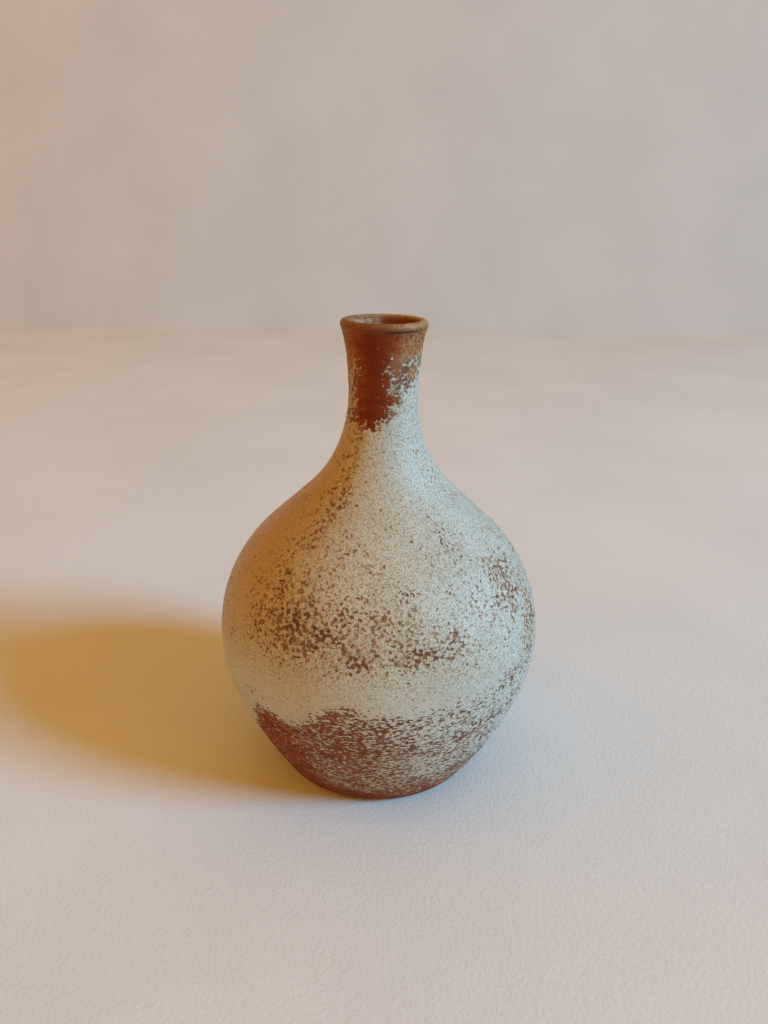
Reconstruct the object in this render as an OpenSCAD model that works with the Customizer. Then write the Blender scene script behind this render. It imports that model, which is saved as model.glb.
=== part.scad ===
// Bud vase: a wheel-thrown stoneware bottle with three fired coats of glaze.
// The clay is one thrown piece. A pale satin glaze lies on the outside, a thin brown
// glaze wraps the lip, and a glossy liner glaze seals the inside.
// Millimetres. The origin is the centre of the foot on the table, and +Z points out of the mouth.
//
// The outside is one chain of arcs, each tangent to the next: foot, lower wall, belly,
// a straight shoulder, neck, mouth flare and rolled lip. Growing the chain outwards by a
// thickness keeps every centre and changes only the radii, which is how the coats follow the clay.

/* [Overall size] */
// Height from the table to the top of the glazed lip
height = 120; // [116:0.5:124]
// Widest diameter, measured over the glaze
belly_d = 84.4; // [82:0.2:87]
// Height of the widest point above the table
belly_z = 39.7; // [38:0.1:41]

/* [Outside curves] */
// Radius of the arc that makes the belly
belly_curve = 38; // [37:0.1:39.5]
// Radius of the flatter arc between the belly and the foot
lower_curve = 108; // [95:1:125]
// Angle below the widest point where the belly arc meets the flatter arc
lower_angle = 18.6; // [16:0.2:22]
// Radius that turns the wall under to the foot
foot_curve = 5.3; // [4:0.1:7]
// Narrowest diameter of the neck, measured over the glaze
neck_d = 17.2; // [16.8:0.1:18]
// Height of the narrowest point of the neck
neck_z = 101.7; // [100:0.1:103]
// Radius of the hollow arc between the shoulder and the neck
neck_curve = 32.7; // [30:0.1:34]

/* [Lip and throat] */
// Diameter of the circle along the crest of the lip
lip_d = 18.8; // [18.6:0.1:19.6]
// Thickness of the rolled lip, measured over its glaze
lip_t = 2.4; // [2.2:0.1:2.8]
// Clear diameter of the straight throat, inside the liner glaze
throat_d = 11; // [10:0.1:11.4]
// Height where the straight throat starts
throat_bottom = 95; // [93:0.5:96]
// Height where the throat starts to open to the mouth
throat_top = 108; // [105:0.5:110]

/* [Clay walls] */
// Thickness of the belly wall
wall_t = 4; // [3.5:0.1:4.5]
// Thickness of the floor, measured from the table
floor_t = 6; // [5:0.1:8]
// Radius of the hollow arc that opens the throat into the shoulder, on the inside
inner_neck_curve = 20; // [18:0.5:22]
// Radius that turns the inside wall into the inside floor
inner_corner = 14; // [10:0.5:16]

/* [Foot] */
// Diameter of the shallow recess turned into the underside
recess_d = 35; // [30:0.5:38]
// Depth of that recess
recess_depth = 1.2; // [0.6:0.1:2]

/* [Outer glaze] */
// Thickness of the pale outer glaze
glaze_t = 0.4; // [0.3:0.05:0.5]
// Height where the glaze's lower edge crosses the axis
lower_edge_z = 18.5; // [16:0.5:24]
// Tilt of the lower edge
lower_edge_tilt = 25.5; // [20:0.5:28]
// Direction in which the lower edge climbs, from +X
lower_edge_dir = -75; // [-90:1:-60]
// Height of the level wax line that keeps the glaze off the table
wax_line_z = 3; // [2:0.1:5]
// Height where the glaze's upper edge crosses the axis
upper_edge_z = 103.5; // [102:0.5:104.5]
// Tilt of the upper edge
upper_edge_tilt = 47; // [40:1:49]
// Direction in which the upper edge climbs, from +X
upper_edge_dir = 40; // [20:1:60]

/* [Lip and liner glazes] */
// Thickness of the brown glaze on the lip
lip_glaze_t = 0.2; // [0.15:0.05:0.3]
// Distance down from the top of the lip to the lip glaze's outer edge
lip_glaze_drop = 3.2; // [2.4:0.1:3.5]
// Thickness of the glossy liner glaze
liner_t = 0.3; // [0.2:0.05:0.4]
// Depth of the liner glaze where it pools on the inside floor
pool_t = 0.9; // [0.5:0.1:1.5]

/* [Hidden] */
$fn = 180;
arc_step = 3;

// Clay under the glazes
clay_r = belly_d / 2 - glaze_t;
clay_curve = belly_curve - glaze_t;
neck_r = neck_d / 2 - glaze_t;
clay_neck_curve = neck_curve + glaze_t;
throat_r = throat_d / 2 + liner_t;
lip_r = lip_d / 2;
lip_roll = lip_t / 2 - lip_glaze_t;
lip_z = height - lip_glaze_t - lip_roll;

// Side of the cubes that trim the outer glaze, well over the size of the vase
trim_side = 3 * height;

// Colours
clay_colour = [0.42, 0.24, 0.15];
outer_glaze_colour = [0.72, 0.73, 0.66];
lip_glaze_colour = [0.40, 0.22, 0.12];
liner_glaze_colour = [0.85, 0.82, 0.74];

// Centres of the arcs, as [distance from the axis, height]
belly_centre = [clay_r - clay_curve, belly_z];
lower_centre = belly_centre + (clay_curve - lower_curve) * [cos(lower_angle), -sin(lower_angle)];
foot_centre = inside_turn(lower_curve - foot_curve, foot_curve);
neck_centre = [neck_r + clay_neck_curve, neck_z];
lip_centre = [lip_r, lip_z];
inner_neck_centre = [throat_r + inner_neck_curve, throat_bottom];
inner_turn_centre = inside_turn(lower_curve - wall_t - inner_corner, floor_t + inner_corner);

// The outer flare leaves the neck upright and ends tangent to the lip, and so does the inner one
flare_curve = flare_radius(lip_r - neck_r, lip_z - neck_z, -lip_roll);
flare_centre = [neck_r + flare_curve, neck_z];
flare_angle = asin((lip_z - neck_z) / (flare_curve + lip_roll));
mouth_curve = flare_radius(lip_r - throat_r, lip_z - throat_top, lip_roll);
mouth_centre = [throat_r + mouth_curve, throat_top];
mouth_angle = asin((lip_z - throat_top) / (mouth_curve - lip_roll));

// Directions, seen from their arcs' centres, in which the lip glaze ends outside and inside
lip_edge_z = height - lip_glaze_drop;
outer_lip_edge = 180 - asin((lip_edge_z - neck_z) / flare_curve);
inner_lip_edge = 180 - asin((lip_edge_z - throat_top) / mouth_curve);

// Directions in which neighbouring arcs touch
foot_angle = direction(foot_centre - lower_centre);
inner_turn_angle = direction(inner_turn_centre - lower_centre);
shoulder_angle = line_angle(belly_centre, clay_curve, neck_centre, clay_neck_curve);
inner_shoulder_angle = line_angle(belly_centre, clay_curve - wall_t, inner_neck_centre, inner_neck_curve);

// Centre of an arc at height z that touches the lower wall's arc from inside
function inside_turn(distance, z) =
    [lower_centre.x + sqrt(pow(distance, 2) - pow(z - lower_centre.y, 2)), z];

// Radius of an arc that starts upright and ends tangent to a circle whose centre lies so far
// across and up from its start. The circle's radius tip_r is negative if they touch from outside.
function flare_radius(across, up, tip_r) =
    (pow(across, 2) + pow(up, 2) - pow(tip_r, 2)) / (2 * (across - tip_r));

// Direction from the origin to a point
function direction(v) = atan2(v.y, v.x);

// Direction of the normal of the straight shoulder between the belly's arc and the neck's arc
function line_angle(from, from_r, to, to_r) =
    direction(to - from) - acos((from_r + to_r) / norm(to - from));

// Points of an arc from angle a to angle b
function arc(centre, r, a, b) =
    let (n = max(1, ceil(abs(b - a) / arc_step)))
    [for (i = [0:n]) centre + r * [cos(a + (b - a) * i / n), sin(a + (b - a) * i / n)]];

// Outside of the clay from the foot to the flare, grown outwards by t
function outside(t) = concat(
    arc(foot_centre, foot_curve + t, -90, foot_angle),
    arc(lower_centre, lower_curve + t, foot_angle, -lower_angle),
    arc(belly_centre, clay_curve + t, -lower_angle, 0),
    arc(belly_centre, clay_curve + t, 0, shoulder_angle),
    arc(neck_centre, clay_neck_curve - t, 180 + shoulder_angle, 180),
    arc(flare_centre, flare_curve - t, 180, 180 - flare_angle)
);

// Rolled lip from the outer flare over the crest to the inner flare, grown by t
function roll(t) = arc(lip_centre, lip_roll + t, -flare_angle, 180 - mouth_angle);

// Inside of the clay from direction start in the mouth to the centre of the floor. It is
// thickened inwards by t, and filled up to the depth of the pool on the floor.
function inside(start, t, pool) = concat(
    arc(mouth_centre, mouth_curve + t, start, 180),
    arc(inner_neck_centre, inner_neck_curve + t, 180, 180 + inner_shoulder_angle),
    arc(belly_centre, clay_curve - wall_t - t, inner_shoulder_angle, -lower_angle),
    arc(lower_centre, lower_curve - wall_t - t, -lower_angle, inner_turn_angle),
    arc(inner_turn_centre, inner_corner - t, inner_turn_angle, pool_angle(t, pool)),
    [[0, floor_t + pool]]
);

// Direction, seen from the turn's centre, in which the turn meets the surface of the pool
function pool_angle(t, pool) = -asin((inner_corner - pool) / (inner_corner - t));

// Both sides of the lip and the lip between them, grown by t, between the lip glaze's two edges
function lip_band(t) = concat(
    arc(flare_centre, flare_curve - t, outer_lip_edge, 180 - flare_angle),
    roll(t),
    arc(mouth_centre, mouth_curve + t, 180 - mouth_angle, inner_lip_edge)
);

// The same points in the opposite order
function reverse(points) = [for (i = [len(points) - 1:-1:0]) points[i]];

// Everything on one side of a tilted plane: above it for side = 1, below it for side = -1
module half_space(z, tilt, climbs_to, side) {
    translate([0, 0, z])
        rotate([0, -tilt, climbs_to])
            translate([0, 0, side * trim_side / 2])
                cube(trim_side, center = true);
}

// Clay: floor, belly, shoulder, neck and rolled lip, thrown in one piece
module stoneware_body() {
    underside = [
        [0, recess_depth],
        [recess_d / 2 - recess_depth, recess_depth],
        [recess_d / 2, 0]
    ];
    color(clay_colour)
        rotate_extrude()
            polygon(concat(outside(0), roll(0), inside(180 - mouth_angle, 0, 0), underside));
}

// Pale satin glaze on the outside, between its two slanting edges
module outer_glaze() {
    color(outer_glaze_colour)
        difference() {
            rotate_extrude()
                polygon(concat(outside(glaze_t), reverse(outside(0))));
            half_space(lower_edge_z, lower_edge_tilt, lower_edge_dir, -1);
            half_space(upper_edge_z, upper_edge_tilt, upper_edge_dir, 1);
            translate([0, 0, wax_line_z - trim_side / 2])
                cube(trim_side, center = true);
        }
}

// Thin brown glaze over the rolled lip
module lip_glaze() {
    color(lip_glaze_colour)
        rotate_extrude()
            polygon(concat(lip_band(lip_glaze_t), reverse(lip_band(0))));
}

// Glossy glaze that seals the inside from the mouth to the floor
module liner_glaze() {
    color(liner_glaze_colour)
        rotate_extrude()
            polygon(concat(inside(inner_lip_edge, liner_t, pool_t), reverse(inside(inner_lip_edge, 0, 0))));
}

stoneware_body();
outer_glaze();
lip_glaze();
liner_glaze();
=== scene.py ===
"""Looks of the bud vase: thrown brown stoneware under a pale sprayed glaze.

Four pieces stand for the four CAD nodes. They follow the same outline, and add what firing does to
it: a wavering wall, a coat that thins, breaks into speckles and ends in a ragged edge, a thin lip
glaze and a pooled liner. Lengths are in millimetres and angles in degrees until a mesh is made, but
the stage, the lights and the camera are placed in metres.
"""
import math

import bpy
import numpy as np
from mathutils import Matrix, Vector, noise


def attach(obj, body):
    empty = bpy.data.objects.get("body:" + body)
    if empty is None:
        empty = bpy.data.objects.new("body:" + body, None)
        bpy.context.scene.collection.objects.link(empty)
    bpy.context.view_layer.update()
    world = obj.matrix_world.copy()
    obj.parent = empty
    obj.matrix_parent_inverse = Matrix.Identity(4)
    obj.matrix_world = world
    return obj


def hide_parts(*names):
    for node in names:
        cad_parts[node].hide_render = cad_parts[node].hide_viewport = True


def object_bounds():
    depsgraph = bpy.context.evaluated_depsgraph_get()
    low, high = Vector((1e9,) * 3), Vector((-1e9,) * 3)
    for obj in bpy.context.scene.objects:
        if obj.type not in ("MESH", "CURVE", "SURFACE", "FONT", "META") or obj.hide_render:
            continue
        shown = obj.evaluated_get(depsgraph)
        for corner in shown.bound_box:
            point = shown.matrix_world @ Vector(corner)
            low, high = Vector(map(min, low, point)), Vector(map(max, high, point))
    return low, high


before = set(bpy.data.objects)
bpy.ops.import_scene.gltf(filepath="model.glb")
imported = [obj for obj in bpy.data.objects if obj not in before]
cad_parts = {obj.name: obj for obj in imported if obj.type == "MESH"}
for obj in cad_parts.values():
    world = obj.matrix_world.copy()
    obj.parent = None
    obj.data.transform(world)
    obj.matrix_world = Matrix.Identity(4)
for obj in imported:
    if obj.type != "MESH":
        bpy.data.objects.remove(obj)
cad_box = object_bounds()

MM = 0.001

# Outline of the clay, the same values as the CAD model's. Overall sizes come from its bounds.
HEIGHT = cad_box[1].z / MM
BELLY_R = cad_box[1].x / MM
GLAZE_T = 0.4
BELLY_Z, BELLY_CURVE = 39.7, 38.0
LOWER_CURVE, LOWER_ANGLE = 108.0, 18.6
FOOT_CURVE = 5.3
NECK_R, NECK_Z, NECK_CURVE = 8.6, 101.7, 32.7
LIP_R, LIP_T, LIP_GLAZE_T, LIP_GLAZE_DROP = 9.4, 2.4, 0.2, 3.2
THROAT_R, THROAT_BOTTOM, THROAT_TOP = 5.5, 95.0, 108.0
WALL_T, FLOOR_T = 4.0, 6.0
INNER_NECK_CURVE, INNER_CORNER = 20.0, 14.0
RECESS_R, RECESS_DEPTH = 17.5, 1.2
LINER_T, POOL_T = 0.3, 0.9

# Slanting edges of the outer glaze: height on the axis, tilt, direction in which the edge climbs
LOWER_EDGE = (18.5, 25.5, -75.0)
UPPER_EDGE = (103.5, 47.0, 40.0)
WAX_LINE_Z = 3.0

# Mesh density
COLUMNS = 360
OUTSIDE_ROWS = 188
COAT_ROWS = 150
INSIDE_ROWS = 42
LIP_ROWS = 48
UNDER_ROWS = 24

# How far the films' undersides lie inside the clay: the outer coat's, and the other two's
COAT_SINK, BAND_SINK = 0.3, 0.12
# Usual thickness of the lip glaze, and how far its edges are tucked into the clay
LIP_FILM, LIP_TUCK = 0.11, 0.02
# Thickness of the outer coat where it breaks up and where it is calm, how far its surface dives at
# its edges, and the height over the clay under which it ends
COAT_THINNEST, COAT_THICKEST, COAT_DIVE, COAT_END = 0.04, 0.38, 0.30, -0.2
# Depth of the throwing lines left in the wall, and the height of one turn of their spiral
LINE_DEPTH, LINE_PITCH = 0.02, 3.4
# Depth of the rings that the turning tool left in the recess, and the distance between them
RING_DEPTH, RING_PITCH = 0.06, 2.4

# Surface colours, linear
CLAY_RED = (0.300, 0.075, 0.012, 1)
CLAY_DARK = (0.135, 0.020, 0.004, 1)
CLAY_TAN = (0.360, 0.155, 0.065, 1)
GLAZE_PALE = (0.515, 0.540, 0.495, 1)
GLAZE_GREY = (0.390, 0.385, 0.325, 1)
# Painted warm light: an ochre tint for the warm light that falls on the left side
PAINTED_WARM_LIGHT = (0.465, 0.275, 0.045, 1)
GLAZE_SAND = (0.255, 0.215, 0.125, 1)
GLAZE_THIN = (0.330, 0.185, 0.080, 1)
SPECKLE = (0.108, 0.038, 0.013, 1)
RUST = (0.150, 0.055, 0.017, 1)
PEPPER = (0.120, 0.060, 0.028, 1)
DUST = (0.425, 0.245, 0.105, 1)
LINER_PALE = (0.560, 0.520, 0.430, 1)
LINER_THIN = (0.400, 0.280, 0.165, 1)
LIP_TAN = (0.360, 0.205, 0.085, 1)
LIP_BROWN = (0.160, 0.068, 0.018, 1)
# Painted shadow line under the lip roll
PAINTED_SHADOW_LINE = (0.012, 0.006, 0.004, 1)


def direction(v):
    """Angle of a vector from the first axis."""
    return math.degrees(math.atan2(v[1], v[0]))


def unit(angles):
    """Unit vectors at these angles, one per row."""
    a = np.radians(np.atleast_1d(angles))
    return np.stack([np.cos(a), np.sin(a)], 1)


def flare_radius(across, up, tip_r):
    """Radius of an arc that starts upright and ends tangent to a circle so far across and up."""
    return (across**2 + up**2 - tip_r**2) / (2 * (across - tip_r))


class Outline:
    """Centres, radii and angles of the arcs that make the clay's outline, as in the CAD model."""

    clay_r = BELLY_R - GLAZE_T
    belly_curve = BELLY_CURVE - GLAZE_T
    neck_r = NECK_R - GLAZE_T
    neck_curve = NECK_CURVE + GLAZE_T
    throat_r = THROAT_R + LINER_T
    roll = LIP_T / 2 - LIP_GLAZE_T
    lip_z = HEIGHT - LIP_GLAZE_T - roll

    belly = np.array([clay_r - belly_curve, BELLY_Z])
    lower = belly + (belly_curve - LOWER_CURVE) * unit(-LOWER_ANGLE)[0]
    neck = np.array([neck_r + neck_curve, NECK_Z])
    lip = np.array([LIP_R, lip_z])
    inner_neck = np.array([throat_r + INNER_NECK_CURVE, THROAT_BOTTOM])

    flare_curve = flare_radius(LIP_R - neck_r, lip_z - NECK_Z, -roll)
    flare = np.array([neck_r + flare_curve, NECK_Z])
    flare_angle = math.degrees(math.asin((lip_z - NECK_Z) / (flare_curve + roll)))
    mouth_curve = flare_radius(LIP_R - throat_r, lip_z - THROAT_TOP, roll)
    mouth = np.array([throat_r + mouth_curve, THROAT_TOP])
    mouth_angle = math.degrees(math.asin((lip_z - THROAT_TOP) / (mouth_curve - roll)))

    @classmethod
    def turn(cls, distance, z):
        """Centre at height z of an arc that touches the lower wall's arc from inside."""
        return np.array([cls.lower[0] + math.sqrt(distance**2 - (z - cls.lower[1]) ** 2), z])

    @staticmethod
    def shoulder(start, start_r, end, end_r):
        """Direction of the normal of the straight shoulder between two arcs."""
        span = end - start
        return direction(span) - math.degrees(math.acos((start_r + end_r) / np.hypot(*span)))


def arc(centre, radius, start, end, side):
    """Points of an arc and their normals. side is 1 where the surface looks away from the centre
    and -1 where it looks towards it."""
    steps = max(2, int(abs(end - start) * 2))
    rays = unit(np.linspace(start, end, steps + 1))
    return np.hstack([centre + radius * rays, side * rays])


def outside_chain():
    """Outside of the clay from the ring that stands on the table to the flare under the lip."""
    o = Outline
    foot = o.turn(LOWER_CURVE - FOOT_CURVE, FOOT_CURVE)
    foot_angle = direction(foot - o.lower)
    shoulder = o.shoulder(o.belly, o.belly_curve, o.neck, o.neck_curve)
    return np.vstack([
        arc(foot, FOOT_CURVE, -90, foot_angle, 1),
        arc(o.lower, LOWER_CURVE, foot_angle, -LOWER_ANGLE, 1),
        arc(o.belly, o.belly_curve, -LOWER_ANGLE, shoulder, 1),
        arc(o.neck, o.neck_curve, 180 + shoulder, 180, -1),
        arc(o.flare, o.flare_curve, 180, 180 - o.flare_angle, -1),
    ])


def roll_chain():
    """The rolled lip, from the outer flare over the crest to the inner flare."""
    o = Outline
    return arc(o.lip, o.roll, -o.flare_angle, 180 - o.mouth_angle, 1)


def inside_chain():
    """Inside of the clay from under the lip to the centre of the floor."""
    o = Outline
    shoulder = o.shoulder(o.belly, o.belly_curve - WALL_T, o.inner_neck, INNER_NECK_CURVE)
    turn = o.turn(LOWER_CURVE - WALL_T - INNER_CORNER, FLOOR_T + INNER_CORNER)
    turn_angle = direction(turn - o.lower)
    return np.vstack([
        arc(o.mouth, o.mouth_curve, 180 - o.mouth_angle, 180, -1),
        arc(o.inner_neck, INNER_NECK_CURVE, 180, 180 + shoulder, -1),
        arc(o.belly, o.belly_curve - WALL_T, shoulder, -LOWER_ANGLE, -1),
        arc(o.lower, LOWER_CURVE - WALL_T, -LOWER_ANGLE, turn_angle, -1),
        arc(turn, INNER_CORNER, turn_angle, -90, -1),
        [[0, FLOOR_T, 0, 1]],
    ])


def under_chain():
    """Underside from the centre of the recess to the ring that stands on the table, facing down."""
    foot_r = outside_chain()[0, 0]
    edge = 0.5
    corners = [
        (0, RECESS_DEPTH),
        (RECESS_R - RECESS_DEPTH - edge, RECESS_DEPTH),
        (RECESS_R - RECESS_DEPTH, RECESS_DEPTH - 0.1 * edge),
        (RECESS_R - 0.5 * edge, 0.35 * edge),
        (RECESS_R + 0.7 * edge, 0),
        (foot_r, 0),
    ]
    return np.array([(r, z, 0, -1) for r, z in corners])


def resample(chain, rows):
    """The chain at evenly spaced places: distance from the axis, height, and the normal's parts."""
    steps = np.hypot(*np.diff(chain[:, :2], axis=0).T)
    along = np.concatenate([[0], np.cumsum(steps)])
    at = np.linspace(0, along[-1], rows)
    return np.stack([np.interp(at, along, chain[:, i]) for i in range(4)], 1)


def smoothstep(low, high, x):
    """0 below low, 1 above high, and smooth between them. low may be the larger."""
    t = np.clip((x - low) / (high - low), 0, 1)
    return t * t * (3 - 2 * t)


def field_noise(points, wavelength, seed, octaves=2):
    """Smooth noise, about -1 to 1, at these points. It is the same for any mesh through them."""
    shift = Vector((17.3, 5.1, 9.7)) * seed
    shape = points.shape[:-1]
    flat = points.reshape(-1, 3) / wavelength
    values = [noise.fractal(Vector(p) + shift, 1.0, 2.0, octaves) for p in flat]
    return np.array(values).reshape(shape)


def turned(rows):
    """Points and normals of a revolved surface, by row and column, and the columns' azimuths."""
    azimuth = np.linspace(-180, 180, COLUMNS, endpoint=False)
    rays = unit(azimuth)
    r, z = rows[:, 0][:, None], rows[:, 1][:, None]
    points = np.stack([r * rays[:, 0], r * rays[:, 1], z + 0 * rays[:, 0]], 2)
    normals = np.stack([
        rows[:, 2][:, None] * rays[:, 0],
        rows[:, 2][:, None] * rays[:, 1],
        rows[:, 3][:, None] + 0 * rays[:, 0],
    ], 2)
    return points, normals, azimuth


def away(azimuth, centre):
    """Signed angle from centre, between -180 and 180."""
    return (azimuth - centre + 180) % 360 - 180


def near(azimuth, centre, full, none):
    """1 within full degrees of centre, 0 beyond none degrees from it, and smooth between them."""
    return smoothstep(none, full, np.abs(away(azimuth, centre)))


def hump(x, width):
    """1 where x is 0, and less and less on both sides."""
    return np.exp(-((x / width) ** 2))


def mix(a, b, share):
    """a where share is 0 and b where it is 1."""
    return a + (b - a) * share


def edge_height(edge, azimuth, r):
    """Height at which a slanting edge crosses the wall."""
    z, tilt, climbs_to = edge
    return z + r * math.tan(math.radians(tilt)) * np.cos(np.radians(azimuth - climbs_to))


# Azimuths are in degrees from +X: front -90, right 0, back 90, left 180.
# Patches where the coat is thinner and breaks into speckles, or thicker and calm where the amount
# is below 0: azimuth, height, half width in degrees, half height, rise in mm per degree, amount
SPECKLE_PATCHES = [
    (-106, 56, 24, 7.0, 0.00, 1.75),
    (-130, 63, 14, 8.0, 0.00, 0.90),
    (-72, 56, 16, 6.0, 0.00, 1.05),
    (-84, 51, 24, 2.2, 0.03, 0.90),
    (-127, 53, 16, 7.0, 0.00, 0.85),
    (-92, 44, 34, 2.6, 0.00, -0.45),
    (-128, 82, 13, 11.0, 0.10, 1.95),
    (-112, 71, 20, 4.0, 0.10, 0.45),
    (-62, 84, 28, 9.0, 0.00, -0.70),
    (-52, 71, 13, 3.0, 0.10, 1.30),
    (-34, 62, 9, 7.0, 0.00, 1.20),
    (-20, 52, 19, 15.0, 0.00, 1.45),
    (-56, 52, 18, 6.0, 0.00, 0.25),
    (-40, 39, 24, 4.0, 0.10, 1.30),
    (25, 66, 22, 8.0, 0.10, 1.10),
    (70, 55, 30, 7.0, -0.05, 1.60),
    (130, 74, 26, 8.0, 0.05, 1.30),
    (165, 50, 24, 7.0, 0.05, 1.30),
    (100, 30, 40, 6.0, 0.05, 1.20),
]

# Levels say how much clay shows, in spreads of the speckle noise: none below -3, half at 0 and all
# above 3
LEVEL_CALM = -2.35
LEVEL_BARE = 3.2
# Heights between which the coat's speckles turn into streaks along the throwing lines
STREAK_TOP, STREAK_FULL = 48.0, 36.0


def bare_level(points, azimuth):
    """How much clay shows through the coat at each point of the outside."""
    z = points[..., 2]
    r = np.hypot(points[..., 0], points[..., 1])
    broad = field_noise(points, 11.0, 1)
    ragged = field_noise(points * [1, 1, 1.6], 4.2, 2, 3)

    coat = LEVEL_CALM + 0.55 * broad + 0.35 * ragged
    for at, height, wide, tall, rise, amount in SPECKLE_PATCHES:
        turn = away(azimuth, at)
        up = z - height - rise * turn
        coat = coat + amount * hump(turn, wide) * hump(up, tall)

    level = mix(coat, lower_level(azimuth, z, ragged), lower_share(azimuth, z, r, broad, ragged))
    level = mix(level, neck_level(azimuth, z, ragged), neck_share(azimuth, z, r, broad, ragged))

    # The clay is bare just above the table, and further up where less glaze reached it
    heavy = heavy_side(azimuth)
    above_foot = smoothstep(mix(3.4, 1.2, heavy), mix(8.4, 4.6, heavy), z + 0.9 * broad)
    return mix(LEVEL_BARE, level, above_foot)


def heavy_side(azimuth):
    """1 on the right, where more glaze reached the lower wall, and 0 on the left and behind."""
    return near(azimuth, -10, 56, 92)


def lower_share(azimuth, z, r, broad, ragged):
    """1 well below the coat's lower edge and 0 well above it. The edge is soft on the front right.

    Clay climbs past the edge at two places on the front. Glaze hangs below it in a lobe between
    them, and much further down on the left."""
    soft = 2.8 + 4.0 * smoothstep(-100, -60, away(azimuth, 0)) * smoothstep(60, 0, away(azimuth, 0))
    drop = edge_height(LOWER_EDGE, azimuth, r) - z + 1.4 * broad + 1.8 * ragged
    climb = 3.0 * hump(away(azimuth, -105), 13) + 2.0 * hump(away(azimuth, -132), 9)
    lobe = 2.2 * hump(away(azimuth, -117), 4) * hump(z - 34, 3)
    apron = 7.0 * near(azimuth, 180, 28, 47)
    return smoothstep(-soft, soft, drop + climb - lobe - apron)


def lower_level(azimuth, z, ragged):
    """Clay with streaks of pale glaze: nearly bare on the left, half and half on the right."""
    left = near(azimuth, -154, 30, 46)
    bare_side = mix(0.50, 1.45, left)
    coated_side = mix(0.80, -0.62, smoothstep(3, 20, z))
    return mix(bare_side, coated_side, heavy_side(azimuth)) + 0.45 * ragged


def neck_share(azimuth, z, r, broad, ragged):
    """1 well above the coat's upper edge, and 0 well below it."""
    rise = z - edge_height(UPPER_EDGE, azimuth, r) + 1.2 * broad + 1.2 * ragged
    return smoothstep(-2.6, 2.6, rise)


def neck_level(azimuth, z, ragged):
    """Bare under the lip and in a tongue down the front of the neck, with flecks of glaze at its
    sides."""
    right = near(azimuth, -28, 40, 84) * smoothstep(118.5, 110, z)
    left = near(azimuth, -175, 24, 66) * smoothstep(118, 107, z)
    return LEVEL_BARE - 3.1 * right - 3.3 * left + 1.1 * ragged


def painted_warm_light_share(azimuth, z):
    """Painted warm light as an ochre tint: most on the upper left, less low down and on the front.
    """
    left = near(azimuth, -175, 15, 75) * smoothstep(30, 62, z)
    low = near(azimuth, -140, 60, 110) * smoothstep(34, 22, z)
    front = near(azimuth, -102, 20, 62) * smoothstep(22, 36, z) * smoothstep(94, 76, z)
    foot = near(azimuth, -105, 50, 95) * smoothstep(18, 6, z)
    return 0.85 * left + 0.30 * low + 0.17 * front + 0.40 * foot


def neck_dust(azimuth, z):
    """How much tan overspray lies on the neck. Below 0 it is the dark tongue down the front."""
    tongue = hump(away(azimuth, -102), 34)
    return smoothstep(86, 96, z) * (1 - 1.9 * tongue)


def waver(points, azimuth):
    """How far the wall stands out from its outline, nearly always below 0: slow swells and a faint
    spiral of throwing lines."""
    z = points[..., 2]
    r = np.hypot(points[..., 0], points[..., 1])
    swell = 0.12 * field_noise(points, 22.0, 5)
    spiral = LINE_DEPTH * np.sin(np.radians(azimuth) + 2 * math.pi * z / LINE_PITCH)
    fade = smoothstep(2.0, 9.0, z) * smoothstep(118.0, 112.0, z)
    return (swell + spiral - 0.10) * fade * (0.25 + 0.75 * r / BELLY_R)


def coat_thickness(level, z):
    """Thickness of the outer coat. Where it is bare, the coat's surface dives into the clay."""
    thickness = mix(COAT_THINNEST, COAT_THICKEST, smoothstep(1.5, -1.4, level))
    dive = smoothstep(1.0, 1.7, level) + smoothstep(WAX_LINE_Z + 0.6, WAX_LINE_Z - 0.4, z)
    return thickness - COAT_DIVE * np.clip(dive, 0, 1)


def grid_faces(rows, keep=None, offset=0, flip=False):
    """Quads of a grid that closes on itself round the axis, for the cells that keep allows."""
    row, column = np.meshgrid(np.arange(rows - 1), np.arange(COLUMNS), indexing="ij")
    if keep is not None:
        row, column = row[keep], column[keep]
    row, column = row.ravel(), column.ravel()
    following = (column + 1) % COLUMNS
    quads = np.stack([
        row * COLUMNS + column,
        row * COLUMNS + following,
        (row + 1) * COLUMNS + following,
        (row + 1) * COLUMNS + column,
    ], 1) + offset
    return quads[:, ::-1] if flip else quads


def new_piece(name, points, faces, uv, attributes, material):
    """A smooth-shaded mesh object in metres with its bake map and named values at its vertices."""
    mesh = bpy.data.meshes.new(name)
    mesh.from_pydata((points * MM).tolist(), [], faces)
    for title, values in attributes.items():
        layer = mesh.attributes.new(title, "FLOAT", "POINT")
        layer.data.foreach_set("value", np.asarray(values, np.float32).ravel())
    corners = np.zeros(len(mesh.loops), np.int32)
    mesh.loops.foreach_get("vertex_index", corners)
    mesh.uv_layers.new(name="OFBake").data.foreach_set("uv", corner_uv(mesh, uv, corners).ravel())
    mesh.polygons.foreach_set("use_smooth", [True] * len(mesh.polygons))
    mesh.materials.append(material)
    mesh.validate()
    mesh.update()
    piece = bpy.data.objects.new(name, mesh)
    bpy.context.scene.collection.objects.link(piece)
    return piece


def corner_uv(mesh, uv, corners):
    """The vertices' map places at each face corner. Where a face closes the turn, its first
    column's places move past the edge, so that the face doesn't run back across the map."""
    places = uv[corners]
    counts = np.zeros(len(mesh.polygons), np.int32)
    mesh.polygons.foreach_get("loop_total", counts)
    face = np.repeat(np.arange(len(counts)), counts)
    highest = np.full(len(counts), -1.0)
    np.maximum.at(highest, face, places[:, 0])
    wraps = (highest[face] - places[:, 0]) > 0.5
    places[wraps, 0] += 1.0
    return places * [1 - 1 / COLUMNS, 1]


def map_places(rows, low, high):
    """Map places of a grid: the turn across, the rows up between low and high."""
    across = np.tile(np.arange(COLUMNS) / COLUMNS, rows)
    up = np.repeat(np.linspace(low, high, rows), COLUMNS)
    return np.stack([across, up], 1)


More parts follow.
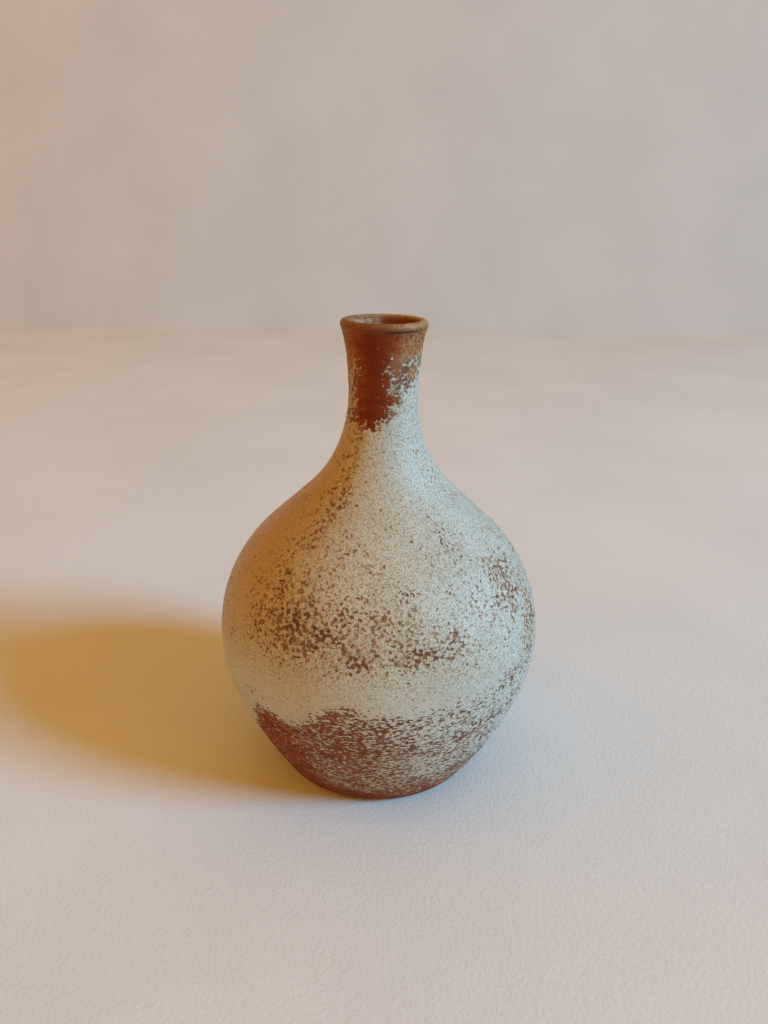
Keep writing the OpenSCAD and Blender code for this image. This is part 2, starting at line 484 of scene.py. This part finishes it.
def outside_surface(rows_count):
    """Points, normals, azimuths and clay levels of the wavering outside of the clay."""
    points, normals, azimuth = turned(resample(outside_chain(), rows_count))
    level = bare_level(points, azimuth)
    return points + normals * waver(points, azimuth)[..., None], normals, azimuth, level


def make_clay(material):
    """The thrown clay: underside with its turned recess, outside, rolled lip and inside."""
    outside, _, _, level = outside_surface(OUTSIDE_ROWS)
    lip = turned(resample(roll_chain(), LIP_ROWS // 2))[0][1:]
    inside = turned(resample(inside_chain(), INSIDE_ROWS))[0][1:-1]
    under = turned(under_rows())[0][1:-1]
    points = np.concatenate([g.reshape(-1, 3) for g in (under, outside, lip, inside)])
    rows = len(points) // COLUMNS
    bottom, top = len(points), len(points) + 1
    points = np.vstack([points, [0, 0, RECESS_DEPTH], [0, 0, FLOOR_T]])
    turn = np.arange(COLUMNS)
    following = (turn + 1) % COLUMNS
    last = (rows - 1) * COLUMNS
    faces = grid_faces(rows).tolist()
    faces += np.stack([following, turn, np.full(COLUMNS, bottom)], 1).tolist()
    faces += np.stack([last + turn, last + following, np.full(COLUMNS, top)], 1).tolist()
    shown = np.full((rows, COLUMNS), LEVEL_BARE)
    shown[len(under):len(under) + OUTSIDE_ROWS] = level
    uv = np.vstack([
        map_places(len(under), 0.0, 0.06),
        map_places(OUTSIDE_ROWS, 0.07, 0.86),
        map_places(rows - len(under) - OUTSIDE_ROWS, 0.865, 0.99),
        [[0.5, 0.0], [0.5, 1.0]],
    ])
    levels = np.append(shown.ravel(), [LEVEL_BARE, LEVEL_BARE])
    attributes = {"level": levels, **tints(points)}
    return new_piece("clay_body", points, faces, uv, attributes, material)


def tints(points):
    """The glaze's painted warm light and the neck's overspray at each point."""
    azimuth = np.degrees(np.arctan2(points[:, 1], points[:, 0]))
    z = points[:, 2]
    return {"warm": painted_warm_light_share(azimuth, z), "dust": neck_dust(azimuth, z)}


def under_rows():
    """Rows of the underside, with shallow rings left by the turning tool."""
    rows = resample(under_chain(), UNDER_ROWS)
    ring = RING_DEPTH * np.sin(2 * math.pi * rows[:, 0] / RING_PITCH)
    rows[:, 1] += ring * smoothstep(RECESS_R - 3, RECESS_R - 5, rows[:, 0])
    rows[0, 1] = RECESS_DEPTH
    return rows


def make_outer_glaze(material):
    """The sprayed coat as a thin closed film: its top, its underside in the clay, and its rim."""
    base, normals, _, level = outside_surface(COAT_ROWS)
    thickness = coat_thickness(level, base[..., 2])
    top = base + normals * thickness[..., None]
    sunk = base - normals * COAT_SINK
    beside = np.maximum(thickness, np.roll(thickness, -1, 1))
    keep = join_corners(np.maximum(beside[:-1], beside[1:]) > COAT_END)
    count = COAT_ROWS * COLUMNS
    faces = np.vstack([
        grid_faces(COAT_ROWS, keep),
        grid_faces(COAT_ROWS, keep, count, True),
        rim_faces(keep, count),
    ])
    points = np.vstack([top.reshape(-1, 3), sunk.reshape(-1, 3)])
    uv = np.vstack([map_places(COAT_ROWS, 0.01, 0.93), map_places(COAT_ROWS, 0.94, 0.99)])
    levels = np.tile(level.ravel(), 2)
    points, faces, uv, levels = used_only(points, faces, uv, levels)
    attributes = {"level": levels, **tints(points)}
    return new_piece("outer_glaze_coat", points, faces.tolist(), uv, attributes, material)


def join_corners(keep):
    """The kept cells, with cells added until no two of them touch at a corner alone."""
    while True:
        right = np.roll(keep, -1, 1)
        falling = keep[:-1] & right[1:] & ~right[:-1] & ~keep[1:]
        rising = right[:-1] & keep[1:] & ~keep[:-1] & ~right[1:]
        if not (falling | rising).any():
            return keep
        keep = keep.copy()
        keep[1:] |= falling
        keep[:-1] |= rising


def rim_faces(keep, offset):
    """Quads that join the film's two surfaces wherever a kept cell has no kept neighbour."""
    nothing = np.zeros((1, COLUMNS), bool)
    padded = np.vstack([nothing, keep, nothing])
    row, column = np.nonzero(keep)
    following = (column + 1) % COLUMNS
    corners = [
        (~padded[row, column], row, column, row, following),
        (~padded[row + 2, column], row + 1, following, row + 1, column),
        (~keep[row, following], row, following, row + 1, following),
        (~keep[row, (column - 1) % COLUMNS], row + 1, column, row, column),
    ]
    quads = []
    for open_side, r1, c1, r2, c2 in corners:
        a = (r1 * COLUMNS + c1)[open_side]
        b = (r2 * COLUMNS + c2)[open_side]
        quads.append(np.stack([b, a, a + offset, b + offset], 1))
    return np.vstack(quads)


def used_only(points, faces, uv, levels):
    """The same mesh without the points that no face uses."""
    used, index = np.unique(faces, return_inverse=True)
    return points[used], index.reshape(faces.shape), uv[used], levels[used]


def closed_band(name, outer, inner, attributes, material):
    """A closed film between two surfaces with the same grid."""
    rows = len(outer)
    count = rows * COLUMNS
    keep = np.ones((rows - 1, COLUMNS), bool)
    faces = np.vstack([
        grid_faces(rows),
        grid_faces(rows, None, count, True),
        rim_faces(keep, count),
    ])
    points = np.vstack([outer.reshape(-1, 3), inner.reshape(-1, 3)])
    uv = np.vstack([map_places(rows, 0.01, 0.79), map_places(rows, 0.80, 0.99)])
    both = {title: np.tile(values.ravel(), 2) for title, values in attributes.items()}
    return new_piece(name, points, faces.tolist(), uv, both, material)


def lip_chain():
    """Both sides of the lip between the lip glaze's two edges."""
    whole = np.vstack([outside_chain()[-60:], roll_chain(), inside_chain()[:40]])
    return whole[whole[:, 1] > HEIGHT - LIP_GLAZE_DROP]


def lip_values(along, azimuth, r):
    """What the lip's material needs, from the outer edge, where along is 0, over the crest to the
    inner edge, where it is 1.

    inward is 1 inside the mouth, which painted shade darkens, pale is the patch of liner glaze
    there, crest is where the glaze pulls off, spread is 0 at the outer edge, and line is a painted
    shadow line under the roll, where the glaze gathers."""
    inward = smoothstep(LIP_R - 0.6, LIP_R - 1.3, r)
    crest = smoothstep(0.20, 0.38, along) * smoothstep(0.70, 0.56, along)
    return {
        "inward": inward,
        "pale": inward * near(azimuth, 150, 38, 62),
        "crest": crest * (1 - 0.80 * near(azimuth, -150, 55, 95)),
        "spread": smoothstep(0.0, 0.30, along),
        # Painted shadow line under the lip roll, on the front right
        "line": hump(along - 0.18, 0.034) * near(azimuth, -64, 14, 36),
    }


def make_lip_glaze(material):
    """Brown glaze round the lip, feathered out to nothing at both of its edges."""
    rows = resample(lip_chain(), LIP_ROWS)
    points, normals, azimuth = turned(rows)
    along = np.linspace(0, 1, LIP_ROWS)[:, None]
    ends = smoothstep(0, 0.22, along) * smoothstep(1, 0.9, along)
    uneven = 0.03 * field_noise(points, 3.0, 8)
    depth = np.minimum((LIP_FILM + uneven) * ends - LIP_TUCK, LIP_GLAZE_T)
    outer = points + normals * depth[..., None]
    inner = points - normals * BAND_SINK
    values = lip_values(along, azimuth, rows[:, 0][:, None])
    values["dust"] = neck_dust(azimuth, points[..., 2])
    attributes = {title: value * np.ones_like(depth) for title, value in values.items()}
    return closed_band("lip_glaze_coat", outer, inner, attributes, material)


def make_liner_glaze(material):
    """Glossy film over the inside, from under the lip to the pool on the floor."""
    chain = inside_chain()
    rows = resample(chain[chain[:, 1] < HEIGHT - LIP_GLAZE_DROP + 0.6], INSIDE_ROWS)
    rows = rows[rows[:, 0] > 0.5]
    points, normals, _ = turned(rows)
    flat = smoothstep(3.0, 0.0, points[..., 2] - FLOOR_T)
    depth = LINER_T * 0.9 + (POOL_T - LINER_T) * flat
    outer = points + normals * depth[..., None]
    inner = points - normals * BAND_SINK
    return closed_band("liner_glaze_coat", outer, inner, {}, material)


def per_mm(x, y=None, z=None):
    """Noise frequencies in waves per millimetre, for coordinates in metres."""
    y = x if y is None else y
    z = x if z is None else z
    return Vector((x, y, z)) / MM


class Shader:
    """A material's node tree with short ways to add what the materials here need."""

    def __init__(self, name):
        self.material = bpy.data.materials.new(name)
        self.material.use_nodes = True
        self.tree = self.material.node_tree
        self.surface = self.tree.nodes["Principled BSDF"]
        self.place = self.add("ShaderNodeTexCoord").outputs["Object"]

    def add(self, kind, inputs=None, **settings):
        """A node with these settings. inputs holds numbers or sockets by input name or number."""
        made = self.tree.nodes.new(kind)
        for title, value in settings.items():
            setattr(made, title, value)
        for key, value in (inputs or {}).items():
            if isinstance(value, bpy.types.NodeSocket):
                self.tree.links.new(value, made.inputs[key])
            else:
                made.inputs[key].default_value = value
        return made

    def math(self, operation, a, b):
        """Arithmetic on two sockets or numbers."""
        return self.add("ShaderNodeMath", {0: a, 1: b}, operation=operation).outputs[0]

    def plus(self, a, b):
        """The sum of two sockets or numbers."""
        return self.math("ADD", a, b)

    def times(self, a, b):
        """The product of two sockets or numbers."""
        return self.math("MULTIPLY", a, b)

    def rest(self, share):
        """What is left of 1 beside this share."""
        return self.math("SUBTRACT", 1.0, share)

    def centred(self, x, amount):
        """x less a half, times amount."""
        return self.times(self.math("SUBTRACT", x, 0.5), amount)

    def between(self, share, a, b):
        """Number a where share is 0 and b where it is 1."""
        return self.add("ShaderNodeMix", {0: share, 2: a, 3: b}).outputs[0]

    def noise(self, frequency, detail=2.0, roughness=0.5, shift=0.0, distortion=0.0):
        """Noise between 0 and 1 at this frequency. shift moves it to a part of its own."""
        at = self.add("ShaderNodeMapping", {
            "Vector": self.place, "Scale": frequency, "Location": (shift, -shift, 0.5 * shift)})
        return self.add("ShaderNodeTexNoise", {
            "Vector": at.outputs[0], "Scale": 1.0, "Detail": detail,
            "Roughness": roughness, "Distortion": distortion}).outputs[0]

    def spots(self, frequency, shift=0.0):
        """Distance to the nearest of many scattered points."""
        at = self.add("ShaderNodeMapping", {
            "Vector": self.place, "Scale": frequency, "Location": (shift, shift, -shift)})
        dots = self.add("ShaderNodeTexVoronoi", {"Vector": at.outputs[0], "Scale": 1.0})
        return dots.outputs["Distance"]

    def value(self, title):
        """A value that the mesh holds at its vertices."""
        return self.add("ShaderNodeAttribute", attribute_name=title).outputs["Fac"]

    def step(self, x, low, high, to_low=0.0, to_high=1.0):
        """A smooth step of x between low and high."""
        return self.add("ShaderNodeMapRange", {
            "Value": x, "From Min": low, "From Max": high, "To Min": to_low, "To Max": to_high},
            interpolation_type="SMOOTHSTEP").outputs[0]

    def blend(self, share, a, b):
        """Colour a where share is 0 and b where it is 1."""
        return self.add("ShaderNodeMix", {0: share, 6: a, 7: b}, data_type="RGBA").outputs[2]

    def bump(self, height, distance, under=None):
        """A bump of this depth in millimetres over another one."""
        inputs = {"Height": height, "Distance": distance * MM, "Strength": 1.0}
        if under is not None:
            inputs["Normal"] = under
        return self.add("ShaderNodeBump", inputs).outputs[0]

    def finish(self, colour, roughness, normal, specular=0.5):
        """Links the surface, and gives the material."""
        links = self.tree.links
        links.new(colour, self.surface.inputs["Base Color"])
        links.new(roughness, self.surface.inputs["Roughness"])
        links.new(normal, self.surface.inputs["Normal"])
        self.surface.inputs["Specular IOR Level"].default_value = specular
        return self.material


def clay_share(s, level):
    """How far each place is past the edge between glaze and clay, and how streaky it is there.

    Blotches and dots break the edge high up, streaks low down, and clumps everywhere. Each of these
    noises is scaled to levels."""
    blotch = s.centred(s.noise(per_mm(1.15, 1.15, 1.3), 3.0, 0.64, distortion=0.5), 10.0)
    dots = s.centred(s.spots(per_mm(0.98), 23.0), -3.6)
    streak = s.centred(s.noise(per_mm(0.88, 0.88, 1.95), 3.0, 0.60, 31.0), 13.5)
    clumps = s.centred(s.noise(per_mm(0.20), 2.0, 0.5, 44.0), 2.8)
    height = s.add("ShaderNodeSeparateXYZ", {0: s.place}).outputs["Z"]
    low = s.step(height, STREAK_TOP * MM, STREAK_FULL * MM)
    uneven = s.plus(s.between(low, s.plus(blotch, dots), streak), clumps)
    return s.plus(uneven, level), low


def clay_colours(s):
    """Iron-rich clay: red brown with darker bands along the throwing lines, tan sand and fine
    grain. The neck has a dark tongue down the front and tan overspray beside it."""
    bands = s.noise(per_mm(0.10, 0.10, 0.42), 3.0, 0.6, 7.0)
    colour = s.blend(s.step(bands, 0.36, 0.66, 0.1, 0.85), CLAY_DARK, CLAY_RED)
    patches = s.noise(per_mm(0.12), 2.0, 0.5, 12.0)
    colour = s.blend(s.step(patches, 0.5, 0.78, 0.0, 0.5), colour, CLAY_TAN)
    grain = s.noise(per_mm(2.2), 2.0, 0.6, 3.0)
    colour = s.blend(s.step(grain, 0.3, 0.75, 0.55, 0.0), colour, CLAY_DARK)
    sand = s.noise(per_mm(1.7), 3.0, 0.7, 41.0)
    colour = s.blend(s.step(sand, 0.54, 0.72, 0.0, 0.6), colour, CLAY_TAN)
    dust = s.value("dust")
    colour = s.blend(s.step(dust, 0.0, -0.9, 0.0, 0.75), colour, CLAY_DARK)
    spray = s.step(s.noise(per_mm(1.6), 3.0, 0.7, 33.0), 0.38, 0.62, 0.05, 0.75)
    return s.blend(s.times(s.step(dust, 0.0, 1.0), spray), colour, DUST)


def glaze_colours(s, past, broken):
    """Pale satin glaze: cloudy grey green, tinted ochre by painted warm light, sandy, peppered by
    fine pores, and thin round its speckles. broken is 1 where only streaks or flecks of it are
    left."""
    clouds = s.noise(per_mm(0.05), 3.0, 0.55, 21.0)
    colour = s.blend(s.step(clouds, 0.35, 0.65, 0.0, 0.45), GLAZE_PALE, GLAZE_GREY)
    # Painted warm light: tints the glaze ochre where the warm light falls on the left
    colour = s.blend(s.value("warm"), colour, PAINTED_WARM_LIGHT)
    dusty = s.times(s.step(s.value("dust"), 0.0, 0.9, 0.0, 0.75), broken)
    colour = s.blend(dusty, colour, DUST)
    grain = s.step(s.noise(per_mm(2.3), 2.0, 0.65, 17.0), 0.42, 0.64, 0.0, 0.72)
    colour = s.blend(s.times(grain, s.step(broken, 0.0, 1.0, 1.0, 0.30)), colour, GLAZE_SAND)
    pores = s.plus(s.noise(per_mm(1.7, 1.7, 2.0), 2.0, 0.6, 57.3), s.times(past, 0.016))
    colour = s.blend(s.step(pores, 0.57, 0.66, 0.0, 0.75), colour, PEPPER)
    halo = s.times(s.step(past, -1.6, -0.1, 0.0, 0.75), s.rest(broken))
    return s.blend(halo, colour, GLAZE_THIN)


def coated_clay(name, clay_rough, glaze_rough, specular):
    """Clay and glaze as one broken surface, so that it runs on from the coat to the bare clay."""
    s = Shader(name)
    level = s.value("level")
    past, low = clay_share(s, level)
    # bare is 1 on open clay, and broken also where the coat is in streaks
    bare = s.step(level, -0.2, 0.9)
    broken = s.math("MAXIMUM", bare, low)

    # Speckles are soft, and veiled here and there by glaze. Streaks and flecks are crisp.
    veil = s.step(s.noise(per_mm(0.16), 2.0, 0.5, 61.0), 0.40, 0.60, 0.70, 1.0)
    edge = s.between(broken, s.step(past, -0.75, 0.60), s.step(past, -0.42, 0.22))
    clay = s.times(edge, s.between(broken, veil, 1.0))

    # Clay in the coat's speckles and streaks is darker than open clay
    shown = s.blend(bare, s.blend(low, SPECKLE, RUST), clay_colours(s))
    colour = s.blend(clay, glaze_colours(s, past, broken), shown)

    fine = s.noise(per_mm(2.6), 3.0, 0.6, 9.0)
    rough = s.between(clay, glaze_rough, clay_rough)
    rough = s.plus(rough, s.step(fine, 0.2, 0.8, -0.07, 0.07))
    normal = s.bump(s.noise(per_mm(0.25, 0.25, 0.9), 2.0, 0.5, 14.0), 0.10)
    normal = s.bump(s.noise(per_mm(2.1), 3.0, 0.68, 5.0), 0.15, normal)
    normal = s.bump(s.rest(clay), 0.08, normal)
    return s.finish(colour, rough, normal, specular)


def lip_glaze_material():
    """Thin brown glaze: tan where it pulls off the crest, darkened inside the mouth by painted
    shade but for a pale patch, with a painted shadow line under the roll outside, where it gathers."""
    s = Shader("lip_glaze")
    cloud = s.noise(per_mm(0.35, 0.35, 0.8), 3.0, 0.6, 2.0)
    grain = s.noise(per_mm(2.0), 3.0, 0.65, 6.0)
    crest = s.value("crest")
    colour = s.blend(s.times(s.value("spread"), 0.55), clay_colours(s), LIP_BROWN)
    worn = s.times(crest, s.step(s.plus(cloud, grain), 0.72, 1.14))
    colour = s.blend(worn, colour, LIP_TAN)
    # Painted shade: the inside of the mouth is darkened towards dark clay
    colour = s.blend(s.times(s.value("inward"), 0.92), colour, CLAY_DARK)
    # Painted shadow: a near-black line under the lip roll on the front right
    line = s.times(s.value("line"), s.step(grain, 0.34, 0.50, 0.4, 1.0))
    colour = s.blend(line, colour, PAINTED_SHADOW_LINE)
    veil = s.times(s.value("pale"), s.step(cloud, 0.36, 0.56, 0.2, 0.9))
    colour = s.blend(veil, colour, LINER_THIN)
    rough = s.plus(s.step(crest, 0.0, 1.0, 0.64, 0.38), s.step(grain, 0.3, 0.8, -0.05, 0.10))
    normal = s.bump(s.noise(per_mm(1.4), 3.0, 0.68, 8.0), 0.20)
    return s.finish(colour, rough, normal, 0.22)


def liner_glaze_material():
    """Pale gloss glaze, cloudy and with a few flecks of clay in it."""
    s = Shader("liner_glaze")
    cloud = s.noise(per_mm(0.12), 3.0, 0.55, 2.0)
    colour = s.blend(s.step(cloud, 0.4, 0.7, 0.0, 0.5), LINER_PALE, GLAZE_GREY)
    flecks = s.spots(per_mm(0.5), 1.0)
    colour = s.blend(s.step(flecks, 0.16, 0.06, 0.0, 0.7), colour, CLAY_RED)
    rough = s.step(cloud, 0.3, 0.7, 0.12, 0.22)
    normal = s.bump(s.noise(per_mm(0.3), 2.0, 0.5, 3.0), 0.05)
    return s.finish(colour, rough, normal, 0.5)


def paper_material(name, colour):
    """Pale, matt, faintly rough paint."""
    s = Shader(name)
    tone = s.noise(per_mm(0.01), 3.0, 0.5)
    shade = tuple(0.94 * c for c in colour[:3]) + (1,)
    painted = s.blend(s.step(tone, 0.3, 0.7), colour, shade)
    fine = s.noise(per_mm(0.9), 3.0, 0.6)
    rough = s.step(fine, 0.2, 0.8, 0.78, 0.92)
    return s.finish(painted, rough, s.bump(fine, 0.14), 0.2)


def flat_sheet(name, corners, material):
    """One flat quad in metres, for the stage."""
    mesh = bpy.data.meshes.new(name)
    mesh.from_pydata(corners, [], [(0, 1, 2, 3)])
    mesh.materials.append(material)
    sheet = bpy.data.objects.new(name, mesh)
    bpy.context.scene.collection.objects.link(sheet)
    return sheet


# Stage, in metres: a floor at the foot, and a wall that stands a little askew behind the vase
WALL_DISTANCE, WALL_SKEW, STAGE_REACH, WALL_HEIGHT = 0.83, math.radians(1.8), 4.0, 3.0
FLOOR_COLOUR = (0.675, 0.670, 0.660, 1)
WALL_COLOUR = (0.62, 0.61, 0.60, 1)


def make_stage():
    """A plain pale floor and wall."""
    left = WALL_DISTANCE - STAGE_REACH * math.tan(WALL_SKEW)
    right = WALL_DISTANCE + STAGE_REACH * math.tan(WALL_SKEW)
    reach = STAGE_REACH
    floor = [(-reach, -reach, 0), (reach, -reach, 0), (reach, right, 0), (-reach, left, 0)]
    top = WALL_HEIGHT
    wall = [(-reach, left, 0), (reach, right, 0), (reach, right, top), (-reach, left, top)]
    flat_sheet("floor", floor, paper_material("floor_paper", FLOOR_COLOUR))
    flat_sheet("wall", wall, paper_material("wall_paper", WALL_COLOUR))


def area_light(name, azimuth, elevation, distance, **settings):
    """A soft round light that looks at the middle of the vase."""
    lamp = bpy.data.lights.new(name, "AREA")
    lamp.shape = "DISK"
    for title, value in settings.items():
        setattr(lamp, title, value)
    placed = bpy.data.objects.new(name, lamp)
    a, e = math.radians(azimuth), math.radians(elevation)
    ray = Vector((math.cos(e) * math.cos(a), math.cos(e) * math.sin(a), math.sin(e)))
    placed.location = ray * distance + Vector((0, 0, HEIGHT * MM / 2))
    placed.rotation_mode = "QUATERNION"
    placed.rotation_quaternion = ray.to_track_quat("Z", "Y")
    bpy.context.scene.collection.objects.link(placed)


# Warm light of the room, and the pale backdrop that is seen in its place
ROOM_LIGHT = (1.0, 0.50, 0.075, 1)
ROOM_STRENGTH = 0.82
BACKDROP = (0.62, 0.58, 0.53, 1)


def make_lights():
    """A soft cool key light from the right, a weak warm fill from the left, and the warm room."""
    area_light("key", azimuth=-20, elevation=27, distance=2.6,
               size=0.84, energy=19.8, color=(0.24, 0.64, 1.0), spread=math.radians(85))
    area_light("fill", azimuth=190, elevation=34, distance=1.1,
               size=0.9, energy=1.2, color=(1.0, 0.30, 0.01), spread=math.radians(180))
    world = bpy.data.worlds.new("room")
    world.use_nodes = True
    nodes, links = world.node_tree.nodes, world.node_tree.links
    seen = nodes.new("ShaderNodeMix")
    seen.data_type = "RGBA"
    seen.inputs[6].default_value = ROOM_LIGHT
    seen.inputs[7].default_value = BACKDROP
    links.new(nodes.new("ShaderNodeLightPath").outputs["Is Camera Ray"], seen.inputs[0])
    room = nodes["Background"]
    room.inputs["Strength"].default_value = ROOM_STRENGTH
    links.new(seen.outputs[2], room.inputs["Color"])
    bpy.context.scene.world = world
    bpy.context.scene.view_settings.view_transform = "Standard"


# Camera, in metres and degrees: a phone's main lens held close, looking down and tilted slightly
CAMERA_PLACE = (0.0008, -0.1853, 0.1433)
CAMERA_DOWN, CAMERA_ROLL, CAMERA_LENS = 21.31, 1.13, 27.04


def make_camera():
    """The camera at the photograph's viewing angle."""
    lens = bpy.data.cameras.new("camera")
    lens.lens = CAMERA_LENS
    lens.sensor_width = 36.0
    lens.clip_start = 0.01
    camera = bpy.data.objects.new("camera", lens)
    down = Matrix.Rotation(math.radians(90 - CAMERA_DOWN), 4, "X")
    roll = Matrix.Rotation(math.radians(CAMERA_ROLL), 4, "Z")
    camera.matrix_world = Matrix.Translation(CAMERA_PLACE) @ down @ roll
    bpy.context.scene.collection.objects.link(camera)
    bpy.context.scene.camera = camera


def place_piece(piece, node):
    """piece stands for the CAD node of this name: it rides the root body, and that node's own mesh
    is hidden.
    """
    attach(piece, "root")
    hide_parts(node)


make_camera()
make_lights()
make_stage()
place_piece(
    make_clay(coated_clay("stoneware", clay_rough=0.74, glaze_rough=0.46, specular=0.14)),
    "stoneware_body")
place_piece(
    make_outer_glaze(coated_clay("outer_glaze", clay_rough=0.66, glaze_rough=0.36, specular=0.31)),
    "outer_glaze")
place_piece(make_lip_glaze(lip_glaze_material()), "lip_glaze")
place_piece(make_liner_glaze(liner_glaze_material()), "liner_glaze")
